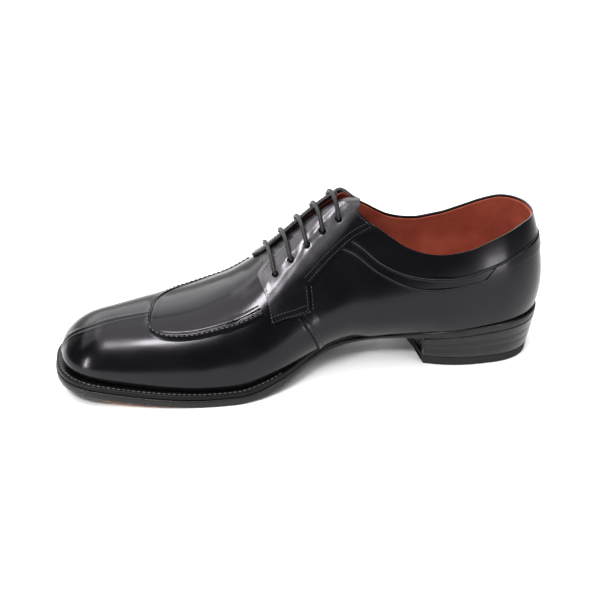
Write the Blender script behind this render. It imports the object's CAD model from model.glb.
"""Looks of a right dress shoe with open lacing, a split toe and a raised apron seam.

The shoe stands on the floor at z = 0, with +X to the toe, +Y to the inner side of the foot
and the origin under the centre of the heel. Sizes are in millimetres until a mesh is made.
"""

import logging
from collections.abc import Callable
from dataclasses import dataclass
from enum import Enum

import bmesh
import bpy
import numpy as np
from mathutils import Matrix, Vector


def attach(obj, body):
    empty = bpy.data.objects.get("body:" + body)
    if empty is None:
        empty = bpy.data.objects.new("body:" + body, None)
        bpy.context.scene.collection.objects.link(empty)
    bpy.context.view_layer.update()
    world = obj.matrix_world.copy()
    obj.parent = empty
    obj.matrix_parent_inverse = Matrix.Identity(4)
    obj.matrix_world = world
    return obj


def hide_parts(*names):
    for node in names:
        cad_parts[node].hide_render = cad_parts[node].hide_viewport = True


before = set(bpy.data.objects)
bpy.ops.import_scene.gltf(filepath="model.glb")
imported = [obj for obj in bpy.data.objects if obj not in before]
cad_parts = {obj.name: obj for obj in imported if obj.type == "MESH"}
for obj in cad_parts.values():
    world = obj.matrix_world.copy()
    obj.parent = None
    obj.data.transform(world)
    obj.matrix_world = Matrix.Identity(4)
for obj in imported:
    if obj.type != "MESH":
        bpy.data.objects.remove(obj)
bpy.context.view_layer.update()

Array = np.ndarray
Curve = Callable[[Array], Array]
Surface = tuple[Array, Array]
Colour = tuple[float, float, float]
Knots = tuple[tuple[float, float], ...]
MM = 0.001
TINY = 1e-9
PAIRS = 5
SIDES = ((1.0, "inner"), (-1.0, "outer"))
LOG = logging.getLogger("shoe")

# Share of the length; inner and outer half width; inner and outer reach of the sole's edge, in
# welt widths; rise; sideways place of the ridge; inner and outer belly; power of the section's
# superellipse. Half widths, ridge and bellies are in widths of the ball.
SECTIONS = np.array([
    [0.0, 0.33, 0.33, 0.23, 0.23, 0.96, 0.0, 0.034, 0.034, 2.05],
    [0.1, 0.341, 0.341, 0.15, 0.15, 0.99, 0.0, 0.04, 0.04, 2.25],
    [0.2, 0.335, 0.358, 0.0, 0.08, 1.01, 0.0, 0.057, 0.045, 2.3],
    [0.3, 0.233, 0.381, -0.15, -0.08, 1.01, 0.0, 0.115, 0.05, 2.3],
    [0.4, 0.188, 0.42, -0.31, -0.15, 0.934, 0.0, 0.13, 0.05, 2.2],
    [0.48, 0.25, 0.466, -0.15, 0.08, 0.811, 0.0, 0.1, 0.045, 2.1],
    [0.56, 0.38, 0.517, 0.46, 0.58, 0.66, 0.006, 0.055, 0.034, 2.05],
    [0.64, 0.46, 0.54, 0.69, 0.77, 0.542, 0.014, 0.028, 0.023, 2.15],
    [0.72, 0.464, 0.523, 0.69, 0.77, 0.455, 0.03, 0.018, 0.018, 2.35],
    [0.82, 0.415, 0.455, 0.77, 0.8, 0.383, 0.04, 0.022, 0.02, 2.38],
    [0.91, 0.341, 0.352, 0.89, 0.89, 0.329, 0.03, 0.03, 0.026, 2.25],
    [1.0, 0.267, 0.267, 1.0, 1.0, 0.272, 0.0, 0.028, 0.028, 2.2],
])
# Share of the length, of the heel's height, of the toe spring and of the waist's bevel.
UNDERSIDE = np.array([
    [0.0, 1.01, 0.0, 0.0], [0.1, 0.93, 0.0, 0.0], [0.2, 0.82, 0.0, 0.0],
    [0.3, 0.66, 0.0, 0.7], [0.4, 0.545, 0.0, 1.0], [0.48, 0.42, 0.0, 0.6],
    [0.56, 0.225, 0.0, 0.1], [0.62, 0.075, 0.0, 0.0], [0.66, 0.01, 0.0, 0.0],
    [0.69, 0.005, 0.0, 0.0], [0.72, 0.0, 0.02, 0.0], [0.8, 0.0, 0.16, 0.0],
    [0.88, 0.0, 0.41, 0.0], [0.94, 0.0, 0.68, 0.0], [1.0, 0.0, 1.03, 0.0],
])
# Share of the length, and height of the upper's top edge from feather line (0) to ridge (1).
TOP_EDGE = np.array([
    [0.0, 0.45], [0.045, 0.433], [0.1, 0.388], [0.147, 0.35], [0.186, 0.327],
    [0.23, 0.321], [0.262, 0.333], [0.3, 0.371], [0.327, 0.425], [0.365, 0.533],
    [0.386, 0.6], [0.409, 0.725], [0.42, 0.8], [0.431, 0.85], [0.456, 0.866],
    [0.52, 0.872], [0.6, 0.876], [1.0, 0.876],
])


def natural_spline(knots: Array, values: Array) -> Curve:
    """Natural cubic spline: second slopes solve the tridiagonal system and are 0 at both ends.

    Args:
        knots: rising positions, shape (n,).
        values: values there, shape (n,) or (n, k).

    Returns:
        A function that gives the spline's values for an array of positions.
    """
    knots, values = np.asarray(knots, float), np.asarray(values, float)
    gaps = np.diff(knots)
    shape = (-1,) + (1,) * (values.ndim - 1)
    slopes = np.diff(values, axis=0) / gaps.reshape(shape)
    system = np.eye(len(knots))
    inner = np.arange(1, len(knots) - 1)
    system[inner, inner - 1] = gaps[:-1]
    system[inner, inner] = 2 * (gaps[:-1] + gaps[1:])
    system[inner, inner + 1] = gaps[1:]
    right = np.zeros_like(values)
    right[1:-1] = 6 * np.diff(slopes, axis=0)
    bend = np.linalg.solve(system, right)

    def evaluate(x: Array) -> Array:
        """Cubic of the span that holds each x: the two end values and their second slopes.

        Args:
            x: positions.

        Returns:
            Values there.
        """
        x = np.asarray(x, float)
        i = np.clip(np.searchsorted(knots, x, side="left") - 1, 0, len(knots) - 2)
        h = gaps[i]
        a, b = (knots[i + 1] - x) / h, (x - knots[i]) / h
        wide = (...,) + (None,) * (values.ndim - 1)
        curve = (a**3 - a)[wide] * bend[i] + (b**3 - b)[wide] * bend[i + 1]
        return a[wide] * values[i] + b[wide] * values[i + 1] + curve * (h * h / 6)[wide]

    return evaluate


def steady_cubic(knots: Array, values: Array) -> Curve:
    """Cubic whose slope at a knot is the harmonic mean of its neighbours', so it never overshoots.

    Args:
        knots: rising positions, shape (n,).
        values: values there, shape (n,).

    Returns:
        A function that gives the curve's values; past either end it holds the end value.
    """
    knots, values = np.asarray(knots, float), np.asarray(values, float)
    gaps = np.diff(knots)
    steps = np.diff(values) / gaps
    slopes = np.concatenate([steps[:1], np.zeros(len(knots) - 2), steps[-1:]])
    product, total = steps[:-1] * steps[1:], steps[:-1] + steps[1:]
    same = product > 0
    slopes[1:-1][same] = 2 * product[same] / total[same]

    def evaluate(x: Array) -> Array:
        """Hermite cubic of the span that holds each x.

        Args:
            x: positions.

        Returns:
            Values there.
        """
        x = np.asarray(x, float)
        i = np.clip(np.searchsorted(knots, x, side="left") - 1, 0, len(knots) - 2)
        h = gaps[i]
        t = np.clip((x - knots[i]) / h, 0, 1)
        base = (1 + 2 * t) * (1 - t) ** 2 * values[i] + t * t * (3 - 2 * t) * values[i + 1]
        return base + t * (1 - t) * h * ((1 - t) * slopes[i] - t * slopes[i + 1])

    return evaluate


def ramp(x: Array, start: float, stop: float) -> Array:
    """Smooth step from 0 at start to 1 at stop: t squared times (3 - 2t)."""
    t = np.clip((np.asarray(x, float) - start) / (stop - start), 0, 1)
    return t * t * (3 - 2 * t)


def unit(vectors: Array) -> Array:
    """Vectors divided by their own length."""
    return vectors / np.maximum(np.linalg.norm(vectors, axis=-1, keepdims=True), 1e-12)


def spread(*spans: tuple[float, float, int]) -> Array:
    """Evenly spaced values over joined spans.

    Args:
        *spans: (start, stop, steps) of each, every start being the stop before it.

    Returns:
        The values, each once.
    """
    parts = [np.array([spans[0][0]])]
    parts += [np.linspace(a, b, n + 1)[1:] for a, b, n in spans]
    return np.concatenate(parts)


@dataclass
class Last:
    """The shoe's last, as a surface over (walk, across).

    walk runs along the inner feather line from 0 at the back to 1 at the tip, and goes on
    below 0 and past 1 down the other side. across runs from 1 at the inner feather line over
    0 at the ridge to -1 at the outer one.
    """

    length: float = 298.0
    back: float = -32.5
    ball_width: float = 88.0
    rise: float = 100.0
    heel_height: float = 28.0
    toe_spring: float = 9.4
    sole_flat: float = 0.3
    outsole: float = 5.0
    welt_thick: float = 3.0
    welt_width: float = 6.5
    gap: float = 0.3
    welt_ramp: tuple[float, float] = (0.36, 0.42)
    heel_round: float = 34.0
    toe_round: float = 24.0
    heel_square: float = 2.3
    toe_square: float = 2.8
    fan: float = 34.0
    fan_softness: float = 9.0
    step: float = 0.006

    def __post_init__(self) -> None:
        """Makes the section curves and the table of walk over length."""
        names = ("inner", "outer", "welt_in", "welt_out", "lift", "ridge", "belly_in",
                 "belly_out", "square")
        self.section = {
            name: natural_spline(SECTIONS[:, 0], SECTIONS[:, i + 1])
            for i, name in enumerate(names)
        }
        self.under = [
            natural_spline(UNDERSIDE[:, 0], UNDERSIDE[:, 1]),
            natural_spline(UNDERSIDE[:, 0], UNDERSIDE[:, 2]),
            steady_cubic(UNDERSIDE[:, 0], UNDERSIDE[:, 3]),
        ]
        self.top_edge = steady_cubic(TOP_EDGE[:, 0], TOP_EDGE[:, 1])
        self.shares = 0.5 - 0.5 * np.cos(np.linspace(0, np.pi, 1201))
        x, y = self.shares * self.length, self.half_width(self.shares, True)
        walked = np.concatenate([[0.0], np.cumsum(np.hypot(np.diff(x), np.diff(y)))])
        self.walks = walked / walked[-1]

    def half_width(self, at: Array, inner: Array) -> Array:
        """Half width of the feather line: the section's width, rounded by a superellipse at
        both ends.

        Args:
            at: shares of the length.
            inner: whether each is on the inner side.

        Returns:
            Half widths in millimetres.
        """
        run = at * self.length
        heel = np.clip(1 - run / self.heel_round, 0, 1)
        toe = np.clip(1 - (self.length - run) / self.toe_round, 0, 1)
        ends = (1 - heel**self.heel_square) ** (1 / self.heel_square)
        ends = ends * (1 - toe**self.toe_square) ** (1 / self.toe_square)
        width = np.where(inner, self.section["inner"](at), self.section["outer"](at))
        return width * self.ball_width * ends

    def share(self, walk: Array) -> Array:
        """Share of the length at each walk, on either side."""
        walk = np.abs(walk)
        return np.interp(np.where(walk > 1, 2 - walk, walk), self.walks, self.shares)

    def walk(self, at: Array) -> Array:
        """Walk at each share of the length; the sign is kept."""
        return np.sign(at) * np.interp(np.abs(at), self.shares, self.walks)

    def bottom(self, at: Array) -> Array:
        """Height of the sole's underside: heel height and toe spring, less the flat."""
        low = self.under[0](at) * self.heel_height + self.under[1](at) * self.toe_spring
        return np.maximum(low - self.sole_flat, 0)

    def feather(self, at: Array) -> Array:
        """Height of the feather line: outsole, and the welt where it runs."""
        welt = (self.welt_thick + self.gap) * ramp(at, *self.welt_ramp)
        return self.bottom(at) + self.outsole + self.gap + welt

    def spine(self, at: Array) -> Array:
        """Share where a section's fan meets the ridge: held back softly at both ends.

        Args:
            at: shares of the length.

        Returns:
            Shares of the length on the ridge.
        """

        def soft(x: Array) -> Array:
            """max(x, 0), rounded."""
            return np.maximum(x, 0) + self.fan_softness * np.log1p(
                np.exp(-np.abs(x) / self.fan_softness))

        front = self.length - self.fan
        held = front - soft(front - at * self.length)
        return (self.fan + soft(held - self.fan)) / self.length

    def skin(self, walk: Array, across: Array) -> Array:
        """Point of the surface: out from the centre by a superellipse arm with a low belly,
        and up from the feather line to the ridge by its partner.

        Args:
            walk: walks, any shape.
            across: acrosses, any shape that fits.

        Returns:
            Points in millimetres, with a last axis of 3.
        """
        walk, across = np.broadcast_arrays(np.asarray(walk, float), np.asarray(across, float))
        walk = np.where(walk < -1, walk + 2, walk)
        past = (walk < 0) | (walk > 1)
        across = np.clip(np.where(past, -across, across), -1, 1)
        walk = np.where(walk < 0, -walk, np.where(walk > 1, 2 - walk, walk))
        inner = across >= 0
        side = np.where(inner, 1.0, -1.0)
        height = 1 - np.abs(across)
        at = self.share(walk)
        spine = self.spine(at)
        edge = np.stack([at * self.length, side * self.half_width(at, inner)], -1)
        centre = np.stack([spine * self.length, self.section["ridge"](spine) * self.ball_width], -1)
        power = 2 / self.section["square"](at)
        angle = height * np.pi / 2
        out = np.maximum(np.cos(angle), 0) ** power
        up = np.maximum(np.sin(angle), 0) ** power
        belly = np.where(inner, self.section["belly_in"](at), self.section["belly_out"](at))
        peak = 0.25 * (1 - 0.25) ** 3
        bulge = belly * self.ball_width * up * (1 - up) ** 3 / peak
        arm = edge - centre
        reach = out * np.linalg.norm(arm, axis=-1) + bulge
        spot = centre + unit(arm) * reach[..., None]
        foot = self.feather(at)
        crest_at = spot[..., 0] / self.length
        crest = self.feather(crest_at) + self.section["lift"](crest_at) * self.rise
        z = foot + (crest - foot) * up
        return np.stack([self.back + spot[..., 0], spot[..., 1], z], -1)

    def slopes(self, walk: Array, across: Array) -> tuple[Array, Array]:
        """Slopes of the surface along walk and along across, by central differences.

        Args:
            walk: walks.
            across: acrosses.

        Returns:
            Millimetres per unit of walk, and per unit of across.
        """
        s = self.step
        along = (self.skin(walk + s, across) - self.skin(walk - s, across)) / (2 * s)
        high = np.minimum(np.abs(across) + s, 1) * np.where(across < 0, -1, 1)
        low = (np.abs(across) - s) * np.where(across < 0, -1, 1)
        span = (high - low)[..., None]
        aside = (self.skin(walk, high) - self.skin(walk, low)) / span
        return along, aside

    def normal(self, walk: Array, across: Array) -> Array:
        """Outward unit normal: the cross product of the two slopes.

        Args:
            walk: walks.
            across: acrosses.

        Returns:
            Unit vectors.
        """
        walk, across = np.broadcast_arrays(np.asarray(walk, float), np.asarray(across, float))
        along, aside = self.slopes(walk, across)
        return unit(np.cross(along, aside))

    def over(self, walk: Array, across: Array, offset: Array) -> Array:
        """Points that stand off the surface by offset along its normal.

        Args:
            walk: walks.
            across: acrosses.
            offset: distances out of the surface in millimetres.

        Returns:
            Points in millimetres.
        """
        walk, across = np.broadcast_arrays(np.asarray(walk, float), np.asarray(across, float))
        lift = np.broadcast_to(np.asarray(offset, float), walk.shape)[..., None]
        return self.skin(walk, across) + self.normal(walk, across) * lift


ROUNDS = 5
LARGEST_STEP = (0.03, 0.1)


@dataclass
class Path:
    """A line on the last, as dense samples of walk and across."""

    last: Last
    walk: Array
    across: Array

    def resampled(self, count: int) -> "Path":
        """The same line with samples evenly spaced along its length.

        Args:
            count: samples.

        Returns:
            The new line.
        """
        run = self.run()
        even = np.linspace(0, run[-1], count)
        return Path(self.last, np.interp(even, run, self.walk), np.interp(even, run, self.across))

    def run(self) -> Array:
        """Length along the line at each sample, in millimetres."""
        steps = np.diff(self.last.skin(self.walk, self.across), axis=0)
        return np.concatenate([[0.0], np.cumsum(np.linalg.norm(steps, axis=1))])

    def frames(self) -> tuple[Array, Array, Array]:
        """Unit directions at each sample.

        Returns:
            Tangent, normal, and sideways direction (normal x tangent).
        """
        tangent = unit(np.gradient(self.last.skin(self.walk, self.across), axis=0))
        normal = self.last.normal(self.walk, self.across)
        aside = unit(np.cross(normal, tangent))
        return unit(np.cross(aside, normal)), normal, aside

    def shifted(self, aside: Array) -> tuple[Array, Array]:
        """Walks and acrosses after a move sideways on the surface.

        Each point aimed at lies sideways in the surface's tangent plane. Some rounds of
        least squares with the surface's two slopes lead to the spot on it nearest to that.

        Args:
            aside: distances in millimetres, shape (m,).

        Returns:
            Walks and acrosses of shape (n, m).
        """
        aside = np.asarray(aside, float)
        here = self.last.skin(self.walk, self.across)
        aim = here[:, None] + self.frames()[2][:, None] * aside[:, None]
        walk = np.repeat(self.walk[:, None], len(aside), 1)
        across = np.repeat(self.across[:, None], len(aside), 1)
        for _ in range(ROUNDS):
            along, over = self.last.slopes(walk, across)
            left = aim - self.last.skin(walk, across)
            a, b, c = ((p * q).sum(-1) for p, q in ((along, along), (along, over), (over, over)))
            u, v = (along * left).sum(-1), (over * left).sum(-1)
            area = np.maximum(a * c - b * b, 1.0)
            most, most_over = LARGEST_STEP
            walk = walk + np.clip((c * u - b * v) / area, -most, most)
            across = across + np.clip((a * v - b * u) / area, -most_over, most_over)
        return walk, across

    def moved(self, aside: float) -> "Path":
        """The line moved sideways by one distance."""
        walk, across = self.shifted(np.array([aside]))
        return Path(self.last, walk[:, 0], across[:, 0])


def line(last: Last, knots: Knots, side: float = 1.0, count: int = 240) -> Path:
    """A smooth line through (at, height) knots; a negative at lies on the other side.

    Args:
        last: the surface it lies on.
        knots: shares of the length and heights from feather line to ridge.
        side: 1 for the inner side, -1 for the outer.
        count: samples.

    Returns:
        The line, a natural spline over the knots' chord length.
    """
    points = np.array(knots, float)
    flat = points * np.array([last.length, last.ball_width])
    run = np.concatenate([[0.0], np.cumsum(np.linalg.norm(np.diff(flat, axis=0), axis=1))])
    t = np.linspace(0, run[-1], count)
    at, height = natural_spline(run, points)(t).T
    return Path(last, last.walk(at), side * (1 - height)).resampled(count)


def grid_faces(rows: int, columns: int, keep: Array | None = None) -> Array:
    """Quads of a grid of points stored row by row.

    Args:
        rows: rows of points.
        columns: points in a row.
        keep: which cells are there, shape (rows - 1, columns - 1).

    Returns:
        Point indices, shape (n, 4), that turn from rows to columns.
    """
    i, j = np.meshgrid(np.arange(rows - 1), np.arange(columns - 1), indexing="ij")
    first = i * columns + j
    quads = np.stack([first, first + columns, first + columns + 1, first + 1], -1)
    return quads.reshape(-1, 4) if keep is None else quads[keep]


def weld(mesh: bpy.types.Mesh, distance: float = 0.004) -> None:
    """Joins points that coincide, so that seams and poles are closed.

    Args:
        mesh: the mesh, in metres.
        distance: in millimetres.
    """
    work = bmesh.new()
    work.from_mesh(mesh)
    bmesh.ops.remove_doubles(work, verts=work.verts, dist=distance * MM)
    bmesh.ops.dissolve_degenerate(work, edges=work.edges, dist=distance * MM * 0.1)
    work.to_mesh(mesh)
    work.free()


class Slot(Enum):
    """The record's material slots."""

    CALF = "calf"
    LINING = "lining"
    EDGE = "sole_edge"
    HEEL = "heel_leather"
    RUBBER = "heel_rubber"
    LACE = "lace"


@dataclass(frozen=True)
class Finish:
    """A finish: a mottled base colour, uneven gloss and a fine relief.

    A zone is (start, stop, lightness): past it in the UV map's v the leather is paler.
    """

    name: str
    slot: Slot | None
    base: Colour
    second: Colour
    gloss: tuple[float, float]
    shine: float = 0.4
    tint: Colour = (1.0, 1.0, 1.0)
    coat: float = 0.0
    coat_gloss: float = 0.1
    mottle: float = 60.0
    grain: float = 1500.0
    relief: float = 0.00006
    stretch: tuple[float, float, float] = (1.0, 1.0, 1.0)
    braid: float = 0.0
    zone: tuple[float, float, float] | None = None
    noise_span: tuple[float, float] = (0.3, 0.72)
    gloss_span: tuple[float, float] = (0.3, 0.7)
    bump: float = 0.6
    zone_dulling: float = 0.03
    braid_lean: float = 4.0
    broad_detail: float = 5.0
    fine_detail: float = 4.0

    def colours(self, nodes: bpy.types.Nodes, low: Colour, high: Colour) -> bpy.types.Node:
        """A ramp from one colour to another over the span of the noise.

        Args:
            nodes: the tree's nodes.
            low: colour where the noise is low.
            high: colour where it is high.

        Returns:
            The ramp's node.
        """
        made = nodes.new("ShaderNodeValToRGB")
        ends = zip(made.color_ramp.elements, self.noise_span, (low, high))
        for element, position, colour in ends:
            element.position, element.color = position, (*colour, 1)
        return made

    def noise(self, nodes: bpy.types.Nodes, scale: float, detail: float) -> bpy.types.Node:
        """A noise texture.

        Args:
            nodes: the tree's nodes.
            scale: patches per metre.
            detail: octaves.

        Returns:
            Its node.
        """
        made = nodes.new("ShaderNodeTexNoise")
        made.inputs["Scale"].default_value, made.inputs["Detail"].default_value = scale, detail
        return made

    def material(self) -> bpy.types.Material:
        """Builds the node tree, or gives the one built before.

        Returns:
            The material: object coordinates feed a broad noise for colour and gloss and a
            fine one for relief; a braid is a wave over the piece's own UV map.
        """
        found = bpy.data.materials.get(self.name)
        if found:
            return found
        made = bpy.data.materials.new(self.name)
        made.use_nodes = True
        nodes, links = made.node_tree.nodes, made.node_tree.links
        shader = nodes["Principled BSDF"]
        shader.inputs["Specular IOR Level"].default_value = self.shine
        shader.inputs["Specular Tint"].default_value = (*self.tint, 1)
        shader.inputs["Coat Weight"].default_value = self.coat
        shader.inputs["Coat Roughness"].default_value = self.coat_gloss
        place = nodes.new("ShaderNodeTexCoord")
        mapping = nodes.new("ShaderNodeMapping")
        mapping.inputs["Scale"].default_value = self.stretch
        links.new(place.outputs["Object"], mapping.inputs["Vector"])
        broad = self.noise(nodes, self.mottle, self.broad_detail)
        links.new(mapping.outputs["Vector"], broad.inputs["Vector"])
        colours = self.colours(nodes, self.base, self.second)
        links.new(broad.outputs["Fac"], colours.inputs["Fac"])
        gloss = nodes.new("ShaderNodeMapRange")
        limits = zip(("From Min", "From Max", "To Min", "To Max"), self.gloss_span + self.gloss)
        for socket, value in limits:
            gloss.inputs[socket].default_value = value
        links.new(broad.outputs["Fac"], gloss.inputs["Value"])
        if self.zone:
            self.blend(nodes, links, place, broad, colours, gloss, shader)
        else:
            links.new(colours.outputs["Color"], shader.inputs["Base Color"])
            links.new(gloss.outputs["Result"], shader.inputs["Roughness"])
        bump = nodes.new("ShaderNodeBump")
        bump.inputs["Strength"].default_value = self.bump
        bump.inputs["Distance"].default_value = self.relief
        links.new(self.relief_of(nodes, links, place, mapping), bump.inputs["Height"])
        links.new(bump.outputs["Normal"], shader.inputs["Normal"])
        return made

    def blend(self, nodes: bpy.types.Nodes, links: bpy.types.NodeLinks, place: bpy.types.Node,
              broad: bpy.types.Node, colours: bpy.types.Node, gloss: bpy.types.Node,
              shader: bpy.types.Node) -> None:
        """Makes the leather lighter and duller where the UV map's v passes the zone: a smooth
        step of v mixes the colour with a pale one and adds to the roughness.

        Args:
            nodes: the tree's nodes.
            links: the tree's links.
            place: the texture coordinate node.
            broad: the broad noise.
            colours: the dark colours' ramp.
            gloss: the map to roughness.
            shader: the shader.
        """
        start, stop, light = self.zone
        split = nodes.new("ShaderNodeSeparateXYZ")
        links.new(place.outputs["UV"], split.inputs["Vector"])
        step = nodes.new("ShaderNodeMapRange")
        step.interpolation_type = "SMOOTHSTEP"
        step.inputs["From Min"].default_value = start
        step.inputs["From Max"].default_value = stop
        links.new(split.outputs["Y"], step.inputs["Value"])
        pale = self.colours(nodes, (light * 0.7, light * 0.68, light * 0.74),
                            (light * 1.3, light * 1.25, light * 1.35))
        links.new(broad.outputs["Fac"], pale.inputs["Fac"])
        mix = nodes.new("ShaderNodeMix")
        mix.data_type = "RGBA"
        links.new(step.outputs["Result"], mix.inputs["Factor"])
        links.new(colours.outputs["Color"], mix.inputs["A"])
        links.new(pale.outputs["Color"], mix.inputs["B"])
        links.new(mix.outputs["Result"], shader.inputs["Base Color"])
        duller = nodes.new("ShaderNodeMath")
        duller.operation = "MULTIPLY_ADD"
        links.new(step.outputs["Result"], duller.inputs[0])
        duller.inputs[1].default_value = self.zone_dulling
        links.new(gloss.outputs["Result"], duller.inputs[2])
        links.new(duller.outputs["Value"], shader.inputs["Roughness"])

    def relief_of(self, nodes: bpy.types.Nodes, links: bpy.types.NodeLinks,
                  place: bpy.types.Node, mapping: bpy.types.Node) -> bpy.types.NodeSocket:
        """The relief's height: a braid over the UV map, or fine noise.

        Args:
            nodes: the tree's nodes.
            links: the tree's links.
            place: the texture coordinate node.
            mapping: the mapping node for object coordinates.

        Returns:
            The socket that gives the height.
        """
        if self.braid:
            waves = []
            for lean in (1.0, -1.0):
                turn = nodes.new("ShaderNodeMapping")
                turn.inputs["Scale"].default_value = (self.braid, lean * self.braid_lean, 1.0)
                links.new(place.outputs["UV"], turn.inputs["Vector"])
                wave = nodes.new("ShaderNodeTexWave")
                wave.bands_direction = "DIAGONAL"
                wave.inputs["Scale"].default_value = 1.0
                links.new(turn.outputs["Vector"], wave.inputs["Vector"])
                waves.append(wave)
            join = nodes.new("ShaderNodeMath")
            join.operation = "MAXIMUM"
            links.new(waves[0].outputs["Fac"], join.inputs[0])
            links.new(waves[1].outputs["Fac"], join.inputs[1])
            return join.outputs["Value"]
        fine = self.noise(nodes, self.grain, self.fine_detail)
        links.new(mapping.outputs["Vector"], fine.inputs["Vector"])
        return fine.outputs["Fac"]


CALF = Finish("polished_calf", Slot.CALF, (0.0028, 0.0028, 0.0034), (0.0052, 0.005, 0.006),
              (0.18, 0.26), shine=0.34, tint=(0.98, 0.93, 1.0), coat=0.05, coat_gloss=0.08,
              mottle=38, grain=1100, relief=0.000022)
FACING_CALF = Finish("facing_calf", Slot.CALF, (0.003, 0.003, 0.0036), (0.0058, 0.0056, 0.0065),
                     (0.19, 0.3), shine=0.55, tint=(0.98, 0.93, 1.0), mottle=62, grain=1100,
                     relief=0.00003, zone=(0.49, 0.63, 0.06))
TONGUE_CALF = Finish("tongue_calf", Slot.CALF, (0.014, 0.0135, 0.015), (0.032, 0.031, 0.034),
                     (0.3, 0.42), shine=0.4, mottle=120, grain=900, relief=0.00005)
RAW_EDGE = Finish("cut_edge", Slot.CALF, (0.05, 0.047, 0.045), (0.12, 0.11, 0.105), (0.45, 0.65),
                  mottle=400, grain=3000, relief=0.00008)
THREAD = Finish("waxed_thread", Slot.CALF, (0.028, 0.027, 0.03), (0.075, 0.073, 0.08),
                (0.35, 0.5), mottle=900, grain=5000, relief=0.00004)
WELT_THREAD = Finish("welt_thread", Slot.EDGE, (0.06, 0.058, 0.057), (0.17, 0.163, 0.155),
                     (0.45, 0.6), mottle=900, grain=5000, relief=0.00004)
LINING = Finish("tan_lining", Slot.LINING, (0.25, 0.06, 0.038), (0.35, 0.097, 0.062),
                (0.42, 0.6), mottle=70, grain=1500, relief=0.00005)
SOLE_EDGE = Finish("inked_edge", Slot.EDGE, (0.004, 0.0035, 0.004), (0.012, 0.011, 0.011),
                   (0.22, 0.42), shine=0.4, coat=0.1, coat_gloss=0.2, mottle=40, grain=900,
                   relief=0.00007, stretch=(1.0, 1.0, 9.0))
WELT = Finish("inked_welt", Slot.EDGE, (0.003, 0.0028, 0.0032), (0.008, 0.0075, 0.008),
              (0.26, 0.42), shine=0.2, coat=0.03, coat_gloss=0.2, mottle=40, grain=900,
              relief=0.00007)
STACK = Finish("burnished_stack", Slot.HEEL, (0.004, 0.0038, 0.004), (0.014, 0.013, 0.013),
               (0.16, 0.36), shine=0.4, coat=0.15, coat_gloss=0.14, mottle=30, grain=500,
               relief=0.00007, stretch=(1.0, 1.0, 12.0))
TREAD = Finish("natural_sole", Slot.EDGE, (0.33, 0.15, 0.06), (0.47, 0.24, 0.11), (0.4, 0.6),
               mottle=35, grain=1100, relief=0.00006)
RUBBER = Finish("heel_rubber", Slot.RUBBER, (0.007, 0.007, 0.008), (0.015, 0.015, 0.016),
                (0.55, 0.75), mottle=120, grain=2500, relief=0.00009)
CORD = Finish("waxed_cord", Slot.LACE, (0.006, 0.006, 0.0065), (0.018, 0.0175, 0.019),
              (0.3, 0.45), mottle=500, relief=0.00015, braid=9.0)
HOLE = Finish("eyelet_inside", Slot.CALF, (0.002, 0.002, 0.002), (0.005, 0.005, 0.005),
              (0.6, 0.8), mottle=300, grain=2500, relief=0.00005)
FLOOR = Finish("pale_floor", None, (0.86, 0.86, 0.86), (0.9, 0.9, 0.9), (0.5, 0.6), mottle=3,
               grain=60, relief=0.0001)


EDGE_STEPS = 3
EDGE_ANGLE = 55


def piece(name: str, points: Array, quads: Array, finish: Finish, stands_for: tuple[str, ...] = (),
          thick: float = 0.0, edge: float = 0.0, rim: Finish | None = None,
          uv: Array | None = None, smooth_by: float = 40.0) -> bpy.types.Object:
    """Makes a mesh piece of the shoe in metres, dresses it and lets it ride on the shoe.

    Args:
        name: the piece's name.
        points: points in millimetres.
        quads: faces as point indices.
        finish: its finish.
        stands_for: CAD nodes that it replaces.
        thick: wall thickness in millimetres, inwards; 0 leaves the mesh as it is.
        edge: radius of rounded edges in millimetres; 0 for none.
        rim: the finish of a wall's cut edge.
        uv: UV for each corner of each face, shape (faces, 4, 2).
        smooth_by: angle in degrees past which an edge stays sharp.

    Returns:
        The piece.
    """
    points = np.asarray(points, float).reshape(-1, 3)
    mesh = bpy.data.meshes.new(name)
    mesh.from_pydata((points * MM).tolist(), [], quads.tolist())
    if uv is not None:
        layer = mesh.uv_layers.new(name="UVMap")
        layer.data.foreach_set("uv", uv.astype(np.float32).ravel())
    weld(mesh)
    mesh.materials.append(finish.material())
    mesh.polygons.foreach_set("use_smooth", np.ones(len(mesh.polygons), bool))
    mesh.set_sharp_from_angle(angle=np.radians(smooth_by))
    made = bpy.data.objects.new(name, mesh)
    bpy.context.scene.collection.objects.link(made)
    if thick:
        wall = made.modifiers.new("wall", "SOLIDIFY")
        wall.thickness, wall.offset, wall.use_even_offset = thick * MM, -1.0, True
        if rim:
            mesh.materials.append(rim.material())
            wall.material_offset_rim = 1
    if edge:
        soft = made.modifiers.new("edge", "BEVEL")
        soft.width, soft.segments, soft.limit_method = edge * MM, EDGE_STEPS, "ANGLE"
        soft.angle_limit = np.radians(EDGE_ANGLE)
    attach(made, "root")
    if stands_for:
        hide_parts(*stands_for)
    LOG.info("%s: %d points", name, len(mesh.vertices))
    return made


SEAM_FLOOR = -0.35
STITCH_LIFT = 0.12
STITCH_BOW = 0.9


def joined(parts: list[Surface]) -> Surface:
    """Several surfaces as one.

    Args:
        parts: (points, quads) of each.

    Returns:
        All points, and quads that count through them.
    """
    starts = np.cumsum([0] + [len(points) for points, _ in parts])
    return (np.concatenate([points for points, _ in parts]),
            np.concatenate([quads + start for (_, quads), start in zip(parts, starts)]))


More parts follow.
